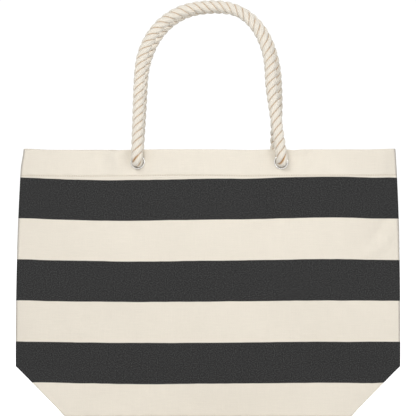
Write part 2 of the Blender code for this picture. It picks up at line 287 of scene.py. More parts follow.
# Each crease: where it starts and ends on the panel (x, z), its width and how far it stands out
CREASES = {
    "front": (
        ((-0.133, 0.381), (-0.126, 0.350), 0.0070, 0.0026),
        ((-0.147, 0.380), (-0.153, 0.345), 0.0090, -0.0022),
        ((0.129, 0.378), (0.121, 0.350), 0.0036, -0.0022),
        ((0.145, 0.380), (0.136, 0.364), 0.0032, -0.0020),
        ((0.156, 0.374), (0.142, 0.345), 0.0080, -0.0016),
        ((-0.262, 0.350), (-0.240, 0.338), 0.0045, 0.0016),
        ((-0.100, 0.345), (-0.092, 0.235), 0.0120, 0.0030),
        ((0.104, 0.345), (0.110, 0.225), 0.0130, 0.0032),
        ((0.262, 0.300), (0.235, 0.235), 0.0120, -0.0036),
        ((0.268, 0.262), (0.222, 0.226), 0.0090, 0.0032),
        ((-0.272, 0.215), (-0.210, 0.175), 0.0120, 0.0018),
        ((-0.030, 0.330), (0.000, 0.180), 0.0260, 0.0020),
        ((0.190, 0.200), (0.235, 0.090), 0.0180, -0.0016),
        ((-0.150, 0.160), (-0.215, 0.070), 0.0180, -0.0016),
        ((0.228, 0.052), (0.229, 0.030), 0.0028, 0.0010),
    ),
    "back": (
        ((0.128, 0.378), (0.140, 0.338), 0.0060, 0.0022),
        ((-0.120, 0.376), (-0.132, 0.340), 0.0060, 0.0020),
        ((-0.140, 0.378), (-0.158, 0.330), 0.0070, -0.0018),
        ((0.100, 0.340), (0.085, 0.215), 0.0130, 0.0022),
        ((-0.096, 0.340), (-0.110, 0.240), 0.0120, 0.0018),
        ((-0.265, 0.285), (-0.220, 0.235), 0.0110, 0.0022),
        ((0.268, 0.235), (0.215, 0.200), 0.0110, -0.0020),
        ((0.030, 0.300), (-0.015, 0.150), 0.0260, 0.0022),
        ((-0.170, 0.170), (-0.235, 0.085), 0.0180, -0.0018),
        ((0.165, 0.165), (0.225, 0.075), 0.0180, 0.0016),
    ),
}


FLIP = {"front": 1.0, "back": -1.0}
SEED = {"front": 0.0, "back": 7.3}
HEM_SEED = {"front": 0.0, "back": 9.1}
# Rumples of the cloth: how fast each kind varies across and up the panel, its own seed, its height
RUMPLES = ((7.0, 6.0, 0.0, 0.0040), (21.0, 9.0, 3.1, 0.0016), (60.0, 48.0, 5.7, 0.00035))
PUCKER = (95.0, 1.7, 0.0009, 0.012)  # along the stitches: rate, seed, height and reach
SEAM_RUMPLE = (70.0, 4.4, 0.0010, 0.016)  # the same along the side seams
HEM_STEP_START = 0.0045  # the hem's step runs from here to here below the stitches
HEM_STEP_END = 0.0010
STITCH_GROOVE_WIDTH = 0.0016
FOOT_FLAT = 0.045  # the relief fades out towards the foot, the side seams and the eyelets
SIDE_FADE = ((0.022, 0.85), (0.004, 0.15))  # reach and share
EYELET_FADE = (0.012, 0.028)


def relief(side, x, z):
    """How far the cloth of a panel stands out of its smooth shape."""
    seed = SEED[side]
    lift = 0.0
    for across, up, shift, height in RUMPLES:
        lift += noise.noise(Vector((x * across, z * up, seed + shift))) * height
    for start, end, width, height in CREASES[side]:
        lift += ridge(x, z, start, end, width, height)
    rate, shift, height, reach = PUCKER
    lift += noise.noise(Vector((x * rate, seed, shift))) * height * bell(z, STITCH_Z, reach)
    lift += HEM_STEP * ease(z, STITCH_Z - HEM_STEP_START, STITCH_Z - HEM_STEP_END)
    lift -= STITCH_GROOVE * bell(z, STITCH_Z, STITCH_GROOVE_WIDTH)
    side_room = half_width(z) - abs(x)
    rate, shift, height, reach = SEAM_RUMPLE
    lift += noise.noise(Vector((seed, z * rate, shift))) * height * math.exp(-side_room / reach)
    lift *= sum(share * ease(side_room, 0.0, reach) for reach, share in SIDE_FADE)
    lift *= ease(z, 0.0, FOOT_FLAT)
    for centre in EYELETS[side].values():
        lift *= ease(math.hypot(x - centre, z - EYELET_HEIGHT), *EYELET_FADE)
    return lift


def opened(side, x, z):
    """Moves a point of the cloth outward from the nearest eyelet, so that a round hole is left there."""
    for centre in EYELETS[side].values():
        away = math.hypot(x - centre, z - EYELET_HEIGHT)
        if away < HOLE_REACH:
            scale = (HOLE_CORE + (HOLE_REACH - HOLE_CORE) * away / HOLE_REACH) / max(away, NEAR_ZERO)
            return centre + (x - centre) * scale, EYELET_HEIGHT + (z - EYELET_HEIGHT) * scale
    return x, z


# Dips of the hem's edge: centre, width and depth
HEM_DIPS = ((-0.165, 0.070, -0.0014), (0.058, 0.028, -0.0009))
HEM_NOTCHES = ((-0.134, 0.006, -0.0012), (0.122, 0.007, -0.0010))
# How the woven stripes sag and lift across a panel: centre, width and lift at the hem
STRIPE_SAGS = ((-0.098, 0.085, -0.0018), (0.160, 0.080, 0.0026), (-0.275, 0.040, 0.0018))


def stripe_sag(side, x, z):
    """How far the stripes are out of level: most at the hem, less lower down."""
    lift = sum(height * bell(FLIP[side] * x, centre, width) for centre, width, height in STRIPE_SAGS)
    return lift * (0.35 + 0.65 * ease(z, 0.120, 0.300))


def hem_rise(side, x, z):
    """The hem's edge isn't quite level: it dips beside the handles and lifts at one corner."""
    wave = noise.noise(Vector((x * 9.0, HEM_SEED[side], 2.2))) * 0.0004
    dips = sum(depth * bell(x, centre, width) for centre, width, depth in HEM_DIPS)
    notches = sum(depth * bell(x, centre, width) for centre, width, depth in HEM_NOTCHES)
    broad = wave + dips + 0.0014 * ease(x, 0.225, 0.265)
    return broad * ease(z, 0.20, HEIGHT) + notches * ease(z, HEIGHT - 0.020, HEIGHT)


def mouth_shift(side, x, z):
    """Sideways move of the mouth's ends, in the panel's own frame; the eyelets stay where they are."""
    flip = FLIP[side]
    shift = MOUTH_SHIFT * ease(z, 0.10, HEIGHT) * ease(abs(x), 0.13, 0.26)
    taper = HEM_TAPER * ease(z, STITCH_Z + 0.006, HEIGHT) * ease(-flip * x, 0.15, 0.26)
    return flip * (shift + taper)


def cloth_point(side, x, z, inset):
    """A point of the panel, this far inside its outer face."""
    across = max(-1.0, min(1.0, x / half_width(min(z, HEIGHT))))
    point = panel_face(across, z) + panel_normal(across, z) * (relief(side, x, z) - inset)
    point.z += hem_rise(side, x, z)
    point.x += mouth_shift(side, x, z)
    return point


# ---- mesh helpers


half_turn = Matrix.Rotation(math.pi, 4, "Z")
TURN = {"front": Matrix.Identity(4), "back": half_turn}


def piece_from(name, mesh, material):
    piece = bpy.data.objects.new(name, mesh)
    mesh.name = name
    bpy.context.scene.collection.objects.link(piece)
    mesh.materials.clear()
    mesh.materials.append(material)
    for face in mesh.polygons:
        face.use_smooth = True
    return piece


def mesh_from(points, faces, coordinates=None):
    """A mesh with, if given, one cloth coordinate pair per point in its UV map."""
    mesh = bpy.data.meshes.new("mesh")
    mesh.from_pydata([tuple(point) for point in points], [], faces)
    if coordinates is not None:
        layer = mesh.uv_layers.new(name="cloth")
        for loop in mesh.loops:
            layer.data[loop.index].uv = coordinates[loop.vertex_index]
    return mesh


def grid_faces(first, rows, stride):
    """Faces between rows of points laid one after another, each stride points long, from point first on."""
    starts = (first + row * stride + column for row in range(rows - 1) for column in range(stride - 1))
    return [(a, a + 1, a + 1 + stride, a + stride) for a in starts]


def end_faces(first, last, sides):
    """The two faces that close a tube, whose first and last rings start at these points."""
    return [tuple(range(first + sides - 1, first - 1, -1)), tuple(range(last, last + sides))]


def thickened(mesh, thickness, offset):
    """The mesh given thickness along its normals."""
    holder = bpy.data.objects.new("holder", mesh)
    bpy.context.scene.collection.objects.link(holder)
    solid = holder.modifiers.new("thickness", "SOLIDIFY")
    solid.thickness = thickness
    solid.offset = offset
    result = bpy.data.meshes.new_from_object(holder.evaluated_get(bpy.context.evaluated_depsgraph_get()))
    bpy.data.objects.remove(holder)
    return result


def lathe(outline, steps):
    """A ring turned about Z from a closed outline of (radius, height) points."""
    points = []
    for step in range(steps):
        angle = 2.0 * math.pi * step / steps
        points += [(r * math.cos(angle), r * math.sin(angle), h) for r, h in outline]
    count = len(outline)
    faces = []
    for step in range(steps):
        here, there = step * count, ((step + 1) % steps) * count
        for index in range(count):
            after = (index + 1) % count
            faces.append((here + index, here + after, there + after, there + index))
    return mesh_from(points, faces)


# ---- materials


def feed(tree, node, inputs):
    """Gives a node its inputs, each either a value or the output it is linked from."""
    for key, value in inputs.items():
        if isinstance(value, bpy.types.NodeSocket):
            tree.links.new(value, node.inputs[key])
        else:
            node.inputs[key].default_value = value


def add(tree, kind, inputs, **settings):
    made = tree.nodes.new(kind)
    for name, value in settings.items():
        setattr(made, name, value)
    feed(tree, made, inputs)
    return made


def calc(tree, operation, *values):
    """A Math node's result."""
    return add(tree, "ShaderNodeMath", dict(enumerate(values)), operation=operation).outputs[0]


def mixed(tree, factor, first, second):
    """Between two colours: the first at factor 0, the second at 1."""
    return add(tree, "ShaderNodeMix", {0: factor, 6: first, 7: second}, data_type="RGBA").outputs[2]


def between(tree, factor, first, second):
    """The same for two numbers."""
    return add(tree, "ShaderNodeMix", {0: factor, 2: first, 3: second}, data_type="FLOAT").outputs[0]


def ramp(tree, value, low, high, at_low, at_high):
    """A straight ramp from at_low, for values up to low, to at_high, from high on."""
    inputs = {"Value": value, "From Min": low, "From Max": high, "To Min": at_low, "To Max": at_high}
    return add(tree, "ShaderNodeMapRange", inputs).outputs[0]


def scaled(tree, colour, tone):
    return add(tree, "ShaderNodeVectorMath", {0: colour, 3: tone}, operation="SCALE").outputs[0]


def grain(tree, vector, scale, detail=2.0):
    """Noise from 0 to 1."""
    inputs = {"Vector": vector, "Scale": scale, "Detail": detail}
    return add(tree, "ShaderNodeTexNoise", inputs).outputs["Fac"]


def streaks(tree, place, across, up, detail=2.0):
    """Noise with its own scale for each of the two cloth coordinates."""
    inputs = {0: place, 1: (across, up, 1.0)}
    stretched = add(tree, "ShaderNodeVectorMath", inputs, operation="MULTIPLY").outputs[0]
    return grain(tree, stretched, 1.0, detail)


def ribs(tree, value, rate):
    """Rounded ribs: 0 between them, 1 on their crowns."""
    return calc(tree, "ABSOLUTE", calc(tree, "SINE", calc(tree, "MULTIPLY", value, rate)))


def off_middle(tree, pattern, amount):
    """A pattern from 0 to 1 as a shift to either side."""
    return calc(tree, "MULTIPLY", calc(tree, "SUBTRACT", pattern, 0.5), amount)


def toned(tree, tone, *patterns):
    """A tone varied by patterns, each given with its middle value and how much it counts."""
    for pattern, middle, amount in patterns:
        tone = calc(tree, "MULTIPLY_ADD", calc(tree, "SUBTRACT", pattern, middle), amount, tone)
    return tone


def bump(tree, height, strength, distance, **under):
    """The surface's normal, bumped; Normal can give the one it starts from."""
    inputs = {"Height": height, "Strength": strength, "Distance": distance, **under}
    return add(tree, "ShaderNodeBump", inputs).outputs[0]


def cloth_place(tree):
    """A piece's cloth coordinates, as a pair and one by one."""
    place = add(tree, "ShaderNodeUVMap", {}, uv_map="cloth").outputs[0]
    parts = add(tree, "ShaderNodeSeparateXYZ", {0: place}).outputs
    return place, parts[0], parts[1]


def attribute(tree, name):
    return add(tree, "ShaderNodeAttribute", {}, attribute_name=name).outputs["Fac"]


def new_material(name):
    material = bpy.data.materials.new(name)
    material.use_nodes = True
    return material, material.node_tree, material.node_tree.nodes["Principled BSDF"]


def plain_weave(tree, across, up):
    """Height of a plain weave, 0 in the gaps to 1 on the crowns; across and up are cloth coordinates."""
    warp = calc(tree, "SINE", calc(tree, "MULTIPLY", across, math.pi / THREAD_PITCH))
    weft = calc(tree, "SINE", calc(tree, "MULTIPLY", up, math.pi / THREAD_PITCH))
    warp_round = calc(tree, "ABSOLUTE", warp)
    weft_round = calc(tree, "ABSOLUTE", weft)
    over = calc(tree, "GREATER_THAN", calc(tree, "MULTIPLY", warp, weft), 0.0)
    warp_top = calc(tree, "MULTIPLY", warp_round, calc(tree, "MULTIPLY_ADD", weft_round, 0.45, 0.55))
    weft_top = calc(tree, "MULTIPLY", weft_round, calc(tree, "MULTIPLY_ADD", warp_round, 0.45, 0.55))
    return between(tree, over, weft_top, warp_top)


def with_stripes(tree, light, weft_slub):
    """The light cloth with its woven stripes and seam shade, and how much sheen it has."""
    place, across, up = cloth_place(tree)
    wobble = off_middle(tree, grain(tree, place, 12.0), 0.0020)
    jag = off_middle(tree, weft_slub, 0.0009)
    level = calc(tree, "ADD", up, calc(tree, "ADD", wobble, jag))
    cycle = calc(tree, "DIVIDE", calc(tree, "SUBTRACT", level, FIRST_STRIPE + STRIPE_HALF), PERIOD)
    off_centre = calc(tree, "SUBTRACT", calc(tree, "FRACT", calc(tree, "ADD", cycle, 0.5)), 0.5)
    distance = calc(tree, "MULTIPLY", calc(tree, "ABSOLUTE", off_centre), PERIOD)
    inside = ramp(tree, distance, STRIPE_HALF - STRIPE_BLUR, STRIPE_HALF + STRIPE_BLUR, 1.0, 0.0)
    dark = calc(tree, "MULTIPLY", inside, calc(tree, "LESS_THAN", up, HEIGHT - 0.5 * HEM_DEPTH))
    lint = ramp(tree, streaks(tree, place, 620.0, 760.0, 3.0), 0.42, 0.78, 0.0, 0.55)
    colour = mixed(tree, dark, light, mixed(tree, lint, CHARCOAL, FADED_CHARCOAL))
    # painted shadow along the hem's stitch line, varied with the stitch pitch
    stitch_shadow = ramp(tree, calc(tree, "ABSOLUTE", attribute(tree, "above_seam")), 0.0003, 0.0015, 0.42, 0.0)
    needle = ribs(tree, across, math.pi / STITCH_PITCH)
    stitch_shadow = calc(tree, "MULTIPLY", stitch_shadow, calc(tree, "MULTIPLY_ADD", needle, -0.5, 1.0))
    return mixed(tree, stitch_shadow, colour, SEAM_SHADE), calc(tree, "MULTIPLY_ADD", dark, -0.18, 0.20)


def canvas(name, striped):
    """Plain-weave cotton canvas: uneven threads, specks of seed, and broad dark stripes if striped."""
    material, tree, shader = new_material(name)
    place, across, up = cloth_place(tree)
    uneven = off_middle(tree, grain(tree, place, 55.0), 0.0011)
    weave = plain_weave(tree, calc(tree, "ADD", across, uneven), calc(tree, "SUBTRACT", up, uneven))
    weft_slub = streaks(tree, place, 45.0, 1050.0)
    warp_slub = streaks(tree, place, 1100.0, 38.0)
    cloudy = grain(tree, place, 9.0, 3.0)
    slubs = ((weft_slub, 0.5, 0.09), (warp_slub, 0.5, 0.06))
    # the weave term paints shade into the weave's gaps and makes the thread crowns slightly lighter
    tone = toned(tree, 1.0, *slubs, (cloudy, 0.5, 0.09), (weave, 0.6, 0.16))
    cells = add(tree, "ShaderNodeTexVoronoi", {"Vector": place, "Scale": 75.0})
    chance = add(tree, "ShaderNodeSeparateColor", {0: cells.outputs["Color"]}).outputs[0]
    near = calc(tree, "LESS_THAN", cells.outputs["Distance"], 0.020)
    speck = calc(tree, "MULTIPLY", near, calc(tree, "GREATER_THAN", chance, 0.90))
    colour, sheen = mixed(tree, calc(tree, "MULTIPLY", speck, 0.65), CREAM, SPECK), 0.2
    if striped:
        colour, sheen = with_stripes(tree, colour, weft_slub)
    fine = bump(tree, calc(tree, "MULTIPLY_ADD", weft_slub, 0.35, weave), 0.55, 0.00030)
    feed(tree, shader, {
        "Base Color": scaled(tree, colour, tone), "Roughness": 0.92, "Specular IOR Level": 0.25,
        "Sheen Weight": sheen, "Sheen Roughness": 0.55,
        "Normal": bump(tree, grain(tree, place, 120.0, 3.0), 0.35, 0.0010, Normal=fine),
    })
    return material


def rope_cotton(name):
    """Soft cotton strands: slanted yarns along each strand, with painted shade deep in the grooves that makes
    them darker and warmer, and painted shade between the yarns.
    """
    material, tree, shader = new_material(name)
    place, around, along = cloth_place(tree)
    slant = YARNS * math.tan(math.radians(YARN_SLANT)) / (2.0 * math.pi * STRAND_RADIUS)
    turns = calc(tree, "ADD", calc(tree, "MULTIPLY", around, YARNS), calc(tree, "MULTIPLY", along, slant))
    turns = calc(tree, "MULTIPLY_ADD", streaks(tree, place, 6.0, 160.0), 0.5, turns)
    yarn = calc(tree, "POWER", ribs(tree, turns, math.pi), 0.6)
    fibre = streaks(tree, place, 60.0, 420.0, 4.0)
    blotch = streaks(tree, place, 3.0, 30.0)
    # the yarn term paints shade between the yarns and slightly lighter yarn crowns
    tone = toned(tree, 0.985, (fibre, 0.5, 0.22), (yarn, 0.75, 0.16), (blotch, 0.5, 0.08))
    # painted shade: a darker, warmer colour where a point lies deep in a groove, close to the rope's axis
    shade = ramp(tree, attribute(tree, "outward"), 0.72, 0.89, 1.0, 0.0)
    colour = mixed(tree, shade, ROPE_COTTON, ROPE_GROOVE_SHADE)
    feed(tree, shader, {
        "Base Color": scaled(tree, colour, tone), "Roughness": 0.95, "Specular IOR Level": 0.2,
        "Sheen Weight": 0.35, "Sheen Roughness": 0.6,
        "Normal": bump(tree, fibre, 0.5, 0.00030, Normal=bump(tree, yarn, 0.55, 0.00045)),
    })
    return material


def plated_metal(name):
    """Bright plated eyelet with fine handling marks."""
    material, tree, shader = new_material(name)
    place = add(tree, "ShaderNodeTexCoord", {}).outputs["Object"]
    marks = grain(tree, place, 900.0, 4.0)
    worn = grain(tree, place, 130.0)
    feed(tree, shader, {
        "Base Color": mixed(tree, worn, *PLATING),
        "Metallic": 1.0,
        "Roughness": calc(tree, "MULTIPLY_ADD", marks, 0.14, calc(tree, "MULTIPLY_ADD", worn, 0.10, 0.10)),
        "Normal": bump(tree, marks, 0.08, 0.0001),
    })
    return material


def sewing_thread(name):
    """Cream sewing thread, its plies twisted."""
    material, tree, shader = new_material(name)
    place = add(tree, "ShaderNodeTexCoord", {}).outputs["Object"]
    parts = add(tree, "ShaderNodeSeparateXYZ", {0: place}).outputs
    ply = ribs(tree, calc(tree, "ADD", parts[0], parts[2]), 6500.0)
    # the colour is painted shade between the plies and lighter on their crowns
    feed(tree, shader, {
        "Base Color": mixed(tree, ply, *THREAD), "Roughness": 0.7, "Sheen Weight": 0.2,
        "Normal": bump(tree, ply, 0.5, 0.0001),
    })
    return material


def binding_tape(name):
    """Twill tape: diagonal ribs."""
    material, tree, shader = new_material(name)
    place, across, along = cloth_place(tree)
    rib = ribs(tree, calc(tree, "ADD", across, along), 3600.0)
    slub = streaks(tree, place, 300.0, 900.0)
    # painted shade and highlight: the twill ribs' crowns lighter, the gaps between them darker
    tone = calc(tree, "MULTIPLY_ADD", rib, 0.10, calc(tree, "MULTIPLY_ADD", slub, 0.12, 0.84))
    feed(tree, shader, {
        "Base Color": scaled(tree, CREAM[:3], tone), "Roughness": 0.9, "Sheen Weight": 0.2,
        "Normal": bump(tree, rib, 0.5, 0.0003),
    })
    return material


striped_canvas = canvas("striped_canvas_look", True)
cream_canvas = canvas("cream_canvas_look", False)
cotton_rope = rope_cotton("cotton_rope_look")
eyelet_metal = plated_metal("eyelet_metal_look")
cream_thread = sewing_thread("sewing_thread_look")
seam_tape = binding_tape("seam_binding_look")


# ---- the panels


def steps_between(low, high, cell):
    count = max(1, round((high - low) / cell))
    return [low + (high - low) * index / count for index in range(count + 1)]


def panel_profile():
    """The panel from foot to hem, over the fold and down inside: (z, inset, distance along the cloth)."""
    rows = [(z, 0.0, z) for z in steps_between(0.0, FOLD_HEIGHT, CELL)]
    shoulder = HEIGHT - HEM_ROUND
    below, above = STITCH_Z - SEAM_BAND, STITCH_Z + SEAM_BAND
    for low, high, cell in ((FOLD_HEIGHT, below, CELL), (below, above, SEAM_CELL), (above, shoulder, CELL)):
        rows += [(z, 0.0, z) for z in steps_between(low, high, cell)[1:]]
    for step in range(1, HEM_ROUND_STEPS + 1):
        angle = math.pi * step / HEM_ROUND_STEPS
        z = shoulder + HEM_ROUND * math.sin(angle)
        rows.append((z, HEM_ROUND * (1.0 - math.cos(angle)), shoulder + HEM_ROUND * angle))
    top = rows[-1][2]
    downs = steps_between(0.0, shoulder - (STITCH_Z - HEM_TUCK), CELL)[1:]
    return rows + [(shoulder - down, 2.0 * HEM_ROUND, top + down) for down in downs]


def build_shell(side):
    """One panel with its turned hem and its halves of the two boxed ends, as one continuous cloth."""
    columns = round(2.0 * FOLD_HALF_WIDTH / CELL)
    folds = round(BASE_HALF_DEPTH / CELL)
    points, coordinates, rows = [], [], []
    above_seam, near_hole = [], []

    def keep(point, pair, level):
        points.append(point)
        coordinates.append(pair)
        above_seam.append(level - STITCH_Z)
        return len(points) - 1

    for z, inset, along in panel_profile():
        width = half_width(z)
        main = []
        for column in range(columns + 1):
            x = width * (2.0 * column / columns - 1.0)
            moved_x, moved_z = opened(side, x, z)
            pair = (moved_x, along + moved_z - z - stripe_sag(side, moved_x, z))
            main.append(keep(cloth_point(side, moved_x, moved_z, inset), pair, moved_z))
            away = min(math.hypot(moved_x - c, moved_z - EYELET_HEIGHT) for c in EYELETS[side].values())
            if away < HOLE_CLEAR:
                near_hole.append(main[-1])
        left, right = [], []
        if z < FOLD_HEIGHT - NEAR_ZERO and inset == 0.0:
            depth = corner_half_depth(z)
            for fold in range(1, folds + 1):
                y = -depth + (depth - EDGE_GAP) * fold / folds
                dip = SEAM_DIP * (1.0 - ease(-y, 0.0, SEAM_DIP_REACH)) * ease(z, 0.0, SEAM_DIP_RISE)
                sag = END_SAG * math.sin(math.pi * fold / folds) * ease(z, 0.0, END_SAG_RISE)
                reach = width - dip - sag
                left.append(keep(Vector((-reach, y, z)), (-width - (depth + y), along), z))
                right.append(keep(Vector((reach, y, z)), (width + (depth + y), along), z))
        rows.append((main, left, right))

    faces = []
    for (main, left, right), (main_up, left_up, right_up) in zip(rows, rows[1:]):
        for a, b, c, d in zip(main, main[1:], main_up[1:], main_up):
            faces.append((a, b, c, d))
        if not right:
            continue
        full_right, full_left = [main[-1], *right], [main[0], *left]
        if right_up:
            up_right, up_left = [main_up[-1], *right_up], [main_up[0], *left_up]
            for a, b, c, d in zip(full_right, full_right[1:], up_right[1:], up_right):
                faces.append((a, b, c, d))
            for a, b, c, d in zip(full_left, full_left[1:], up_left[1:], up_left):
                faces.append((b, a, d, c))
        else:
            for a, b in zip(full_right, full_right[1:]):
                faces.append((a, b, main_up[-1]))
            for a, b in zip(full_left, full_left[1:]):
                faces.append((b, a, main_up[0]))
    dropped = set(near_hole)
    faces = [face for face in faces if not dropped.intersection(face)]
    sheet = mesh_from(points, faces, coordinates)
    sheet.attributes.new("above_seam", "FLOAT", "POINT").data.foreach_set("value", above_seam)
    soften_folds(sheet, side)
    shell = thickened(sheet, CLOTH, -1.0)
    for vertex in shell.vertices:
        vertex.co.y = min(vertex.co.y, -0.5 * EDGE_GAP)
        vertex.co.z = max(vertex.co.z, 0.0)
    shell.transform(TURN[side])
    piece = piece_from(f"{side}_shell", shell, striped_canvas)
    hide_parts(f"{side}_panel", f"{side}_hem_facing")
    return piece


def round_hole(vertex, centre):
    """Moves a vertex of the cut edge onto the eyelet's circle, along the panel."""
    aside, above = vertex.co.x - centre, vertex.co.z - EYELET_HEIGHT
    scale = HOLE_RIM / math.hypot(aside, above)
    x, z = centre + aside * scale, EYELET_HEIGHT + above * scale
    was = panel_face(vertex.co.x / half_width(vertex.co.z), vertex.co.z).y
    vertex.co = (x, vertex.co.y + panel_face(x / half_width(z), z).y - was, z)


def soften_folds(sheet, side):
    """Rounds the 45-degree folds and the eyelets' holes, and drops loose points."""
    cloth = bmesh.new()
    cloth.from_mesh(sheet)
    loose = [vertex for vertex in cloth.verts if not vertex.link_faces]
    bmesh.ops.delete(cloth, geom=loose, context="VERTS")
    edge_band = []
    for vertex in cloth.verts:
        x, y, z = vertex.co
        if SOFT_START < z < FOLD_HEIGHT - SOFT_END:
            if abs(half_width(z) - abs(x)) < SOFT_REACH and -y > corner_half_depth(z) - SOFT_REACH:
                edge_band.append(vertex)
    for vertex in cloth.verts:
        for centre in EYELETS[side].values():
            away = math.hypot(vertex.co.x - centre, vertex.co.z - EYELET_HEIGHT)
            if vertex.is_boundary and away < HOLE_REACH:
                round_hole(vertex, centre)
    for _ in range(SOFT_ROUNDS):
        bmesh.ops.smooth_vert(cloth, verts=edge_band, factor=0.5, use_axis_x=True, use_axis_y=True)
    cloth.to_mesh(sheet)
    cloth.free()


def stitch_line(way, outward):
    """A row of stitches along way, a function of distance; each stitch dives into the cloth at its ends."""
    points, faces = [], []
    sides = STITCH_SIDES
    start = 0.0
    while start + STITCH_LENGTH < way.length:
        first = len(points)
        for share, lift, thick in STITCH_SHAPE:
            at = start + share * STITCH_LENGTH
            centre = way(at)
            after, before = way(min(way.length, at + STITCH_NUDGE)), way(max(0.0, at - STITCH_NUDGE))
            ahead = (after - before).normalized()
            out = outward(at)
            up = ahead.cross(out).normalized()
            centre = centre + out * lift * STITCH_RADIUS
            for side in range(sides):
                angle = 2.0 * math.pi * side / sides
                spoke = out * math.cos(angle) + up * math.sin(angle)
                points.append(centre + spoke * STITCH_RADIUS * thick)
        for ring in range(len(STITCH_SHAPE) - 1):
            here = first + ring * sides
            for side in range(sides):
                after = (side + 1) % sides
                faces.append((here + side, here + after, here + sides + after, here + sides + side))
        faces += end_faces(first, first + (len(STITCH_SHAPE) - 1) * sides, sides)
        start += STITCH_PITCH
    return mesh_from(points, faces)


def distances_along(points):
    """How far along a line each of its points is."""
    return np.concatenate([[0.0], np.cumsum(np.linalg.norm(np.diff(points, axis=0), axis=1))])


class Way:
    """A line through points, read by distance."""

    def __init__(self, points):
        self.points = np.array([tuple(point) for point in points])
        self.travelled = distances_along(self.points)
        self.length = float(self.travelled[-1])

    def __call__(self, distance):
        return Vector([np.interp(distance, self.travelled, self.points[:, axis]) for axis in range(3)])


def build_hem_stitches(side):
    """The hem's row of stitches, seen outside and inside."""
    reach = half_width(STITCH_Z) - STITCH_END_GAP
    spots = [reach * (2.0 * index / STITCH_SPOTS - 1.0) for index in range(STITCH_SPOTS + 1)]
    outside = Way([cloth_point(side, x, STITCH_Z, 0.0) for x in spots])
    inside = Way([cloth_point(side, x, STITCH_Z, 2.0 * HEM_ROUND) for x in spots])

    def out_of_panel(way, sign):
        def outward(at):
            return panel_normal(way(at).x / half_width(STITCH_Z), STITCH_Z) * sign
        return outward

    joined = bmesh.new()
    joined.from_mesh(stitch_line(outside, out_of_panel(outside, 1.0)))
    joined.from_mesh(stitch_line(inside, out_of_panel(inside, -1.0)))
    mesh = bpy.data.meshes.new("stitches")
    joined.to_mesh(mesh)
    joined.free()
    for vertex in mesh.vertices:
        vertex.co.y = min(vertex.co.y, -0.5 * EDGE_GAP)
    mesh.transform(TURN[side])
    piece = piece_from(f"{side}_hem_stitches", mesh, cream_thread)
    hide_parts(f"{side}_hem_stitch")
    return piece


# ---- eyelets


def eyelet_frame(x):
    """Local frame on the front panel: X to the right, Y up, Z out of the bag."""
    across = x / half_width(EYELET_HEIGHT)
    outward = panel_normal(across, EYELET_HEIGHT)
    right = Vector((0.0, 0.0, 1.0)).cross(outward).normalized()
    up = outward.cross(right)
    turned = Matrix((right, up, outward)).transposed().to_4x4()
    return Matrix.Translation(panel_face(across, EYELET_HEIGHT)) @ turned


def arc(centre, radius, start, end, steps):
    """Points on an arc in (radius, height), angles in degrees."""
    angles = [math.radians(start + (end - start) * step / steps) for step in range(steps + 1)]
    return [(centre[0] + radius * math.cos(a), centre[1] + radius * math.sin(a)) for a in angles]


def build_eyelet(side, hand, x):
    """A flared flange in front, a barrel through the cloth and a rolled rim behind, over a flat washer."""
    place = TURN[side] @ eyelet_frame(x)
    rim = lathe([*arc(*FLANGE_ARC), *BARREL, *arc(*ROLLED_ARC), *BORE], LATHE_STEPS)
    rim.transform(place)
    eyelet = piece_from(f"{side}_{hand}_eyelet_look", rim, eyelet_metal)
    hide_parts(f"{side}_{hand}_eyelet")
    ring = lathe(WASHER, LATHE_STEPS)
    ring.transform(place)
    washer = piece_from(f"{side}_{hand}_washer_look", ring, eyelet_metal)
    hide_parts(f"{side}_{hand}_washer")
    return [eyelet, washer]


# ---- rope


def evenly_spaced(points, count):
    travelled = distances_along(points)
    wanted = np.linspace(0.0, travelled[-1], count)
    return np.stack([np.interp(wanted, travelled, points[:, axis]) for axis in range(3)], axis=1)


def stopper_knot():
    """Centreline of the knot: x across, y up, z into the bag from the panel's outer face."""
    turn = np.linspace(-KNOT_PARAMETER, KNOT_PARAMETER, 60)
    loop_x = (turn ** 3 - 3.0 * turn) * KNOT_LOOP
    loop_y = (10.0 * turn - turn ** 5) * KNOT_LOOP * KNOT_SPREAD
    loop_z = KNOT_CENTRE - (turn ** 4 - 4.0 * turn ** 2) * KNOT_LOOP * KNOT_FLATTEN
    loop = np.stack([loop_x, loop_y, loop_z], axis=1)
    first = np.array([0.0, 0.0, KNOT_START])
    lead = np.array([first, first + (0.0, 0.0, KNOT_START)])
    path = evenly_spaced(np.vstack([lead, loop, [KNOT_TAIL]]), KNOT_POINTS)
    spacing = 2.0 * KNOT_CORE_RADIUS * KNOT_SPACING
    order = np.arange(KNOT_POINTS)
    apart = np.abs(order[:, None] - order[None, :])
    for _ in range(KNOT_ROUNDS):
        path[1:-1] += KNOT_EASE * ((path[:-2] + path[2:]) / 2.0 - path[1:-1])
        path[3:, 2] -= KNOT_PULL
        for _ in range(KNOT_PUSHES):
            between = path[:, None] - path[None, :]
            distance = np.linalg.norm(between, axis=2)
            link = np.linalg.norm(np.diff(path, axis=0), axis=1).mean()
            touching = (apart * link > math.pi * KNOT_CORE_RADIUS * KNOT_NEIGHBOUR) & (distance < spacing)
            share = np.where(touching, (spacing - distance) / np.maximum(distance, NEAR_ZERO), 0.0)
            push = (share[:, :, None] * between).sum(axis=1)
            path[2:] += (0.5 * push / np.maximum(touching.sum(axis=1), 1)[:, None])[2:]
            path[4:, 2] = np.maximum(path[4:, 2], KNOT_WALL + KNOT_CORE_RADIUS)
            path[2:, 1] -= np.clip(path[2:, 1] - KNOT_CEILING, 0.0, KNOT_SINK)
        path = evenly_spaced(path, KNOT_POINTS)
        path[0] = first
        path[1, :2] = 0.0
    return path


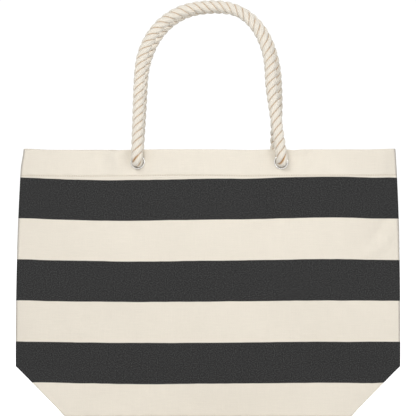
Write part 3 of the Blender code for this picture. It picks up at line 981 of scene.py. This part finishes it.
def through(way, steps):
    """A smooth line through the points (Catmull-Rom)."""
    ends = [way[0] * 2 - way[1], *way, way[-1] * 2 - way[-2]]
    line = []
    for index in range(1, len(ends) - 2):
        before, start, end, after = ends[index - 1:index + 3]
        for step in range(steps):
            t = step / steps
            line.append(0.5 * (
                2 * start
                + (end - before) * t
                + (2 * before - 5 * start + 4 * end - after) * t ** 2
                + (3 * start - before - 3 * end + after) * t ** 3
            ))
    line.append(way[-1])
    return line


knot_line = stopper_knot()


def knot_way(hand, x):
    """The knot's centreline from the panel inwards to its tail, in place on the front panel."""
    mirror = 1.0 if hand == "left" else -1.0
    place = eyelet_frame(x)
    points = through([Vector((mirror * p[0], p[1], -p[2])) for p in knot_line], 4)
    return [place @ point for point in points]


def handle_outline(left, right, crown_x, crown_z, left_x, right_x, spring_z, power):
    """A handle's outline seen from the front, from the left bend to the right one."""
    arch = []
    for step in range(ARCH_STEPS + 1):
        angle = math.pi * step / ARCH_STEPS
        leg_x = left_x if 2 * step < ARCH_STEPS else right_x
        x = crown_x + (leg_x - crown_x) * abs(math.cos(angle)) ** (2.0 / power)
        z = spring_z + (crown_z - spring_z) * math.sin(angle) ** (2.0 / power)
        arch.append(Vector((x, 0.0, z)))
    left_foot = Vector((left.x, 0.0, left.z))
    right_foot = Vector((right.x, 0.0, right.z))
    shares = [step / LEG_STEPS for step in range(LEG_STEPS)]
    left_leg = [left_foot.lerp(arch[0], share) for share in shares]
    right_leg = [right_foot.lerp(arch[-1], share) for share in reversed(shares)]
    return left_leg + arch + right_leg


def handle_way(side):
    """The handle's centreline from inside one eyelet, round the bend, over the arch and in at the other."""
    places = EYELETS[side]
    frames = {hand: eyelet_frame(x) for hand, x in places.items()}
    bends = {hand: frames[hand] @ Vector((0.0, 0.0, BEND_REACH)) for hand in frames}
    hinge_y = min(bend.y for bend in bends.values())
    arch = HANDLE_ARCH[side]
    rise = arch["crown_z"] - ROPE_LEAN_START
    corners = {hand: Vector((bend.x, hinge_y, bend.z)) for hand, bend in bends.items()}
    line = through(handle_outline(corners["left"], corners["right"], **arch), SMOOTH_STEPS)
    for point in line:
        lean = max(0.0, (point.z - ROPE_LEAN_START) / rise) ** ROPE_LEAN_POWER
        point.y = hinge_y + (-APEX_OFFSET - hinge_y) * min(1.0, lean)
    legs = [point for point in line if point.z > corners["left"].z + BEND_RADIUS]

    def bend(hand, after):
        """From inside the bore to the leg, rounded; after is the leg's first point."""
        inner = frames[hand] @ Vector((0.0, 0.0, -SPLIT_DEPTH))
        corner = corners[hand]
        entry = corner + (inner - corner).normalized() * BEND_RADIUS
        leg = corner + (after - corner).normalized() * BEND_RADIUS
        curve = [inner]
        for step in range(BEND_STEPS + 1):
            t = step / BEND_STEPS
            curve.append(entry * (1 - t) ** 2 + corner * 2 * t * (1 - t) + leg * t ** 2)
        return curve

    return bend("left", legs[0]) + legs[1:-1] + bend("right", legs[-1])[::-1]


def rope_scale(inward):
    """How much the rope is squeezed: full in the handle, less in the eyelet, least in the knot."""
    in_bore = ease(inward, *BORE_SQUEEZE)
    in_knot = ease(inward, *KNOT_SQUEEZE)
    return 1.0 + (THREADED_SCALE - 1.0) * in_bore + (KNOT_SCALE - THREADED_SCALE) * in_knot


def unit(rows):
    """Each row as a vector of length 1."""
    return rows / np.linalg.norm(rows, axis=1)[:, None]


def strands(points, scales, phase):
    """The three twisted strands along a line, with cloth coordinates and how far out each point lies."""
    ahead = unit(np.gradient(points, axis=0))
    across = np.zeros_like(points)
    seed = np.array([0.0, -1.0, 0.0]) if abs(ahead[0][1]) < 0.9 else np.array([1.0, 0.0, 0.0])
    across[0] = seed - ahead[0] * seed.dot(ahead[0])
    across[0] /= np.linalg.norm(across[0])
    for index in range(1, len(points)):
        moved = across[index - 1] - ahead[index] * across[index - 1].dot(ahead[index])
        across[index] = moved / np.linalg.norm(moved)
    third = np.cross(ahead, across)
    turn_angles = 2.0 * math.pi * phase
    made = []
    for strand in range(3):
        angle = turn_angles + 2.0 * math.pi * strand / 3.0
        spoke = across * np.cos(angle)[:, None] + third * np.sin(angle)[:, None]
        swell = 1.0 + STRAND_SWELL * np.sin(phase * SWELL_RATE + strand * SWELL_SHIFT)
        centre = points + spoke * ((ROPE_RADIUS - STRAND_RADIUS) * scales)[:, None]
        along = unit(np.gradient(centre, axis=0))
        out = unit(spoke - along * (spoke * along).sum(axis=1)[:, None])
        side = np.cross(along, out)
        made.append((centre, out, side, distances_along(centre), STRAND_RADIUS * scales * swell))
    return made


def rope_mesh(points, made, low, high):
    """One length of the rope, from ring low to ring high, as a mesh with cloth coordinates and depth."""
    vertices, faces, pairs, outward = [], [], [], []
    ring_size = STRAND_SIDES + 1
    for centre, out, side, travelled, radius in made:
        first = len(vertices)
        for ring in range(low, high + 1):
            for step in range(ring_size):
                angle = 2.0 * math.pi * step / STRAND_SIDES
                spoke = out[ring] * math.cos(angle) + side[ring] * math.sin(angle)
                flat = 1.0 - STRAND_FLAT * max(0.0, -math.cos(angle))
                point = centre[ring] + spoke * radius[ring] * flat
                vertices.append(point)
                pairs.append((step / STRAND_SIDES, travelled[ring]))
                reach = np.linalg.norm(point - points[ring])
                outward.append(min(1.0, reach / (radius[ring] * ROPE_RADIUS / STRAND_RADIUS)))
        faces += grid_faces(first, high - low + 1, ring_size)
        faces += end_faces(first, first + (high - low) * ring_size, STRAND_SIDES)
    mesh = mesh_from(vertices, faces, pairs)
    layer = mesh.attributes.new("outward", "FLOAT", "POINT")
    layer.data.foreach_set("value", outward)
    return mesh


def build_rope(side):
    """A whole rope from tail to tail, then cut inside the eyelets into its two ends and its handle."""
    places = EYELETS[side]
    left_knot = knot_way("left", places["left"])[::-1]
    right_knot = knot_way("right", places["right"])
    handle = handle_way(side)
    line = Way([*left_knot, *handle, *right_knot])
    left_cut = Way([*left_knot, handle[0]]).length
    right_cut = line.length - Way([handle[-1], *right_knot]).length
    count = round(line.length / ROPE_STEP)
    distances = np.linspace(0.0, line.length, count + 1)
    low = int(np.argmin(np.abs(distances - left_cut)))
    high = int(np.argmin(np.abs(distances - right_cut)))
    points = np.array([tuple(line(distance)) for distance in distances])
    for _ in range(3):
        points[1:-1] = 0.25 * points[:-2] + 0.5 * points[1:-1] + 0.25 * points[2:]
    inward = np.maximum(left_cut - distances, distances - right_cut) + SPLIT_DEPTH
    scales = np.array([rope_scale(value) for value in inward])
    lays = LAY * 0.5 * (scales[1:] + scales[:-1])
    phase = np.concatenate([[0.0], np.cumsum(np.diff(distances) / lays)])
    made = strands(points, scales, phase + LAY_START[side])
    pieces = {}
    spans = (("left_rope_end", 0, low), ("handle", low, high), ("right_rope_end", high, count))
    for name, start, end in spans:
        mesh = rope_mesh(points, made, start, end)
        mesh.transform(TURN[side])
        piece = piece_from(f"{side}_{name}_look", mesh, cotton_rope)
        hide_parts(f"{side}_{name}")
        pieces[name] = piece
    return pieces


# ---- base and tapes


def build_base():
    """The flat base: cream canvas with the seam along its middle, slightly rumpled."""
    columns = round(2.0 * BASE_HALF_WIDTH / CELL)
    lanes = round(2.0 * BASE_HALF_DEPTH / CELL)
    reach_x = BASE_HALF_WIDTH - CLOTH
    reach_y = BASE_HALF_DEPTH - CLOTH - BASE_SIDE_GAP
    points, pairs = [], []
    for lane in range(lanes + 1):
        y = reach_y * (2.0 * lane / lanes - 1.0)
        for column in range(columns + 1):
            x = reach_x * (2.0 * column / columns - 1.0)
            room = min(reach_x - abs(x), reach_y - abs(y))
            lift = BASE_RAISED + noise.noise(Vector((x * 22.0, y * 30.0, 2.0))) * BASE_RUMPLE
            seam = BASE_SEAM * bell(y, 0.0, BASE_SEAM_WIDTH)
            points.append(Vector((x, y, max(0.0, lift * ease(room, 0.0, BASE_EDGE) + seam))))
            pairs.append((x, y + BASE_CLOTH_START))
    base = thickened(mesh_from(points, grid_faces(0, lanes + 1, columns + 1), pairs), CLOTH, 1.0)
    piece = piece_from("base_cloth", base, cream_canvas)
    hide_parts("base_panel", "left_gusset", "right_gusset")
    return piece


def tape(way, normal, width):
    """A strip of tape standing off a seam: way gives its seam edge, normal the way it stands."""
    count = max(2, round(way.length / TAPE_CELL))
    points, pairs = [], []
    for index in range(count + 1):
        at = way.length * index / count
        for lane in range(TAPE_LANES + 1):
            share = lane / TAPE_LANES
            sway = noise.noise(Vector((at * 30.0, share, 1.3))) * TAPE_SWAY * share
            points.append(way(at) + normal * width * share + Vector((0.0, sway, 0.0)))
            pairs.append((share * width, at))
    strip = mesh_from(points, grid_faces(0, count + 1, TAPE_LANES + 1), pairs)
    return thickened(strip, TAPE_THICKNESS, 0.0)


def build_bindings():
    """Tape over the raw edges of the side seams and across the boxed corners, inside the bag."""
    made = []
    for hand, side in (("right", "front"), ("left", "back")):
        heights = steps_between(SIDE_TAPE_START, SIDE_TAPE_END, SIDE_TAPE_CELL)
        edge = [(half_width(z) + mouth_shift(side, half_width(z), z), z) for z in heights]
        seam = Way([Vector((x - SIDE_TAPE_INSET, 0.0, z)) for x, z in edge])
        strip = tape(seam, Vector((-1.0, 0.0, 0.0)), SIDE_TAPE_WIDTH)
        strip.transform(TURN[side])
        side_tape = piece_from(f"{hand}_side_tape", strip, seam_tape)
        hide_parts(f"{hand}_side_binding")
        x = BASE_HALF_WIDTH - CORNER_TAPE_INSET
        corner = Way([Vector((x, y, CORNER_TAPE_Z)) for y in (-CORNER_TAPE_HALF, CORNER_TAPE_HALF)])
        strip = tape(corner, Vector(CORNER_TAPE_WAY), CORNER_TAPE_WIDTH)
        strip.transform(TURN[side])
        made += [side_tape, piece_from(f"{hand}_corner_tape", strip, seam_tape)]
    return made


# ---- putting it together


for side in ("front", "back"):
    for cloth in (build_shell(side), build_hem_stitches(side)):
        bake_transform(cloth)
    for hand, x in EYELETS[side].items():
        for ring in build_eyelet(side, hand, x):
            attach(ring, side)
    rope = build_rope(side)
    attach(rope["left_rope_end"], side)
    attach(rope["right_rope_end"], side)
    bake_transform(rope["handle"])
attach(build_base(), "base")
for piece in build_bindings():
    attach(piece, "base")


# ---- studio


FRAME_WIDTH = 0.5928
CAMERA_DISTANCE = 10.0
FOCUS_DEPTH = 0.035  # the picture is FRAME_WIDTH wide at this depth in front of the bag's middle
SENSOR_WIDTH = 36.0
CLIP_END = 200.0
FLOOR_SIZE = 80.0
FLOOR_GAP = 0.0002
FLOOR_GREY = (0.88, 0.88, 0.88, 1.0)
FLOOR_GLOW = (0.05, 0.75)  # its emission, and how much more the camera sees
WORLD_LIGHT = 0.52
WORLD_MIRRORED = 1.0
WORLD_SEEN = 1.05
AIM = (0.0, 0.0, 0.3)

camera_data = bpy.data.cameras.new("camera")
camera_data.sensor_width = SENSOR_WIDTH
camera_data.lens = SENSOR_WIDTH * CAMERA_DISTANCE / FRAME_WIDTH
camera_data.clip_end = CLIP_END
camera = bpy.data.objects.new("camera", camera_data)
camera.location = (0.0, -CAMERA_DISTANCE - FOCUS_DEPTH, 0.5 * FRAME_WIDTH)
camera.rotation_euler = (math.pi / 2.0, 0.0, 0.0)
bpy.context.scene.collection.objects.link(camera)
bpy.context.scene.camera = camera

bpy.ops.mesh.primitive_plane_add(size=FLOOR_SIZE, location=(0.0, 0.0, -FLOOR_GAP))
floor = bpy.context.object
floor.name = "floor"
floor_material, floor_tree, floor_shader = new_material("floor_look")
floor.data.materials.append(floor_material)
to_camera = add(floor_tree, "ShaderNodeLightPath", {}).outputs["Is Camera Ray"]
feed(floor_tree, floor_shader, {
    "Base Color": FLOOR_GREY, "Roughness": 0.9, "Emission Color": WHITE,
    "Emission Strength": calc(floor_tree, "MULTIPLY_ADD", to_camera, FLOOR_GLOW[1], FLOOR_GLOW[0]),
})

world = bpy.data.worlds.new("studio")
world.use_nodes = True
world_tree = world.node_tree
rays = add(world_tree, "ShaderNodeLightPath", {}).outputs
lighting = between(world_tree, rays["Is Glossy Ray"], WORLD_LIGHT, WORLD_MIRRORED)
strength = between(world_tree, rays["Is Camera Ray"], lighting, WORLD_SEEN)
feed(world_tree, world_tree.nodes["Background"], {"Color": WHITE, "Strength": strength})
bpy.context.scene.world = world


def soft_light(name, place, size, power):
    """A round light, aimed at the middle of the bag."""
    data = bpy.data.lights.new(name, "AREA")
    data.shape = "DISK"
    data.size = size
    data.energy = power
    light = bpy.data.objects.new(name, data)
    light.location = place
    light.rotation_euler = (Vector(AIM) - Vector(place)).to_track_quat("-Z", "Y").to_euler()
    bpy.context.scene.collection.objects.link(light)


soft_light("key", (-0.8, -2.6, 2.3), 1.1, 43.0)
soft_light("fill", (1.6, -2.3, 1.2), 1.8, 17.0)
soft_light("back_key", (1.1, 2.6, 2.1), 1.4, 34.0)
soft_light("back_fill", (-1.6, 2.3, 1.1), 1.8, 18.0)
bpy.context.scene.view_settings.view_transform = "Standard"
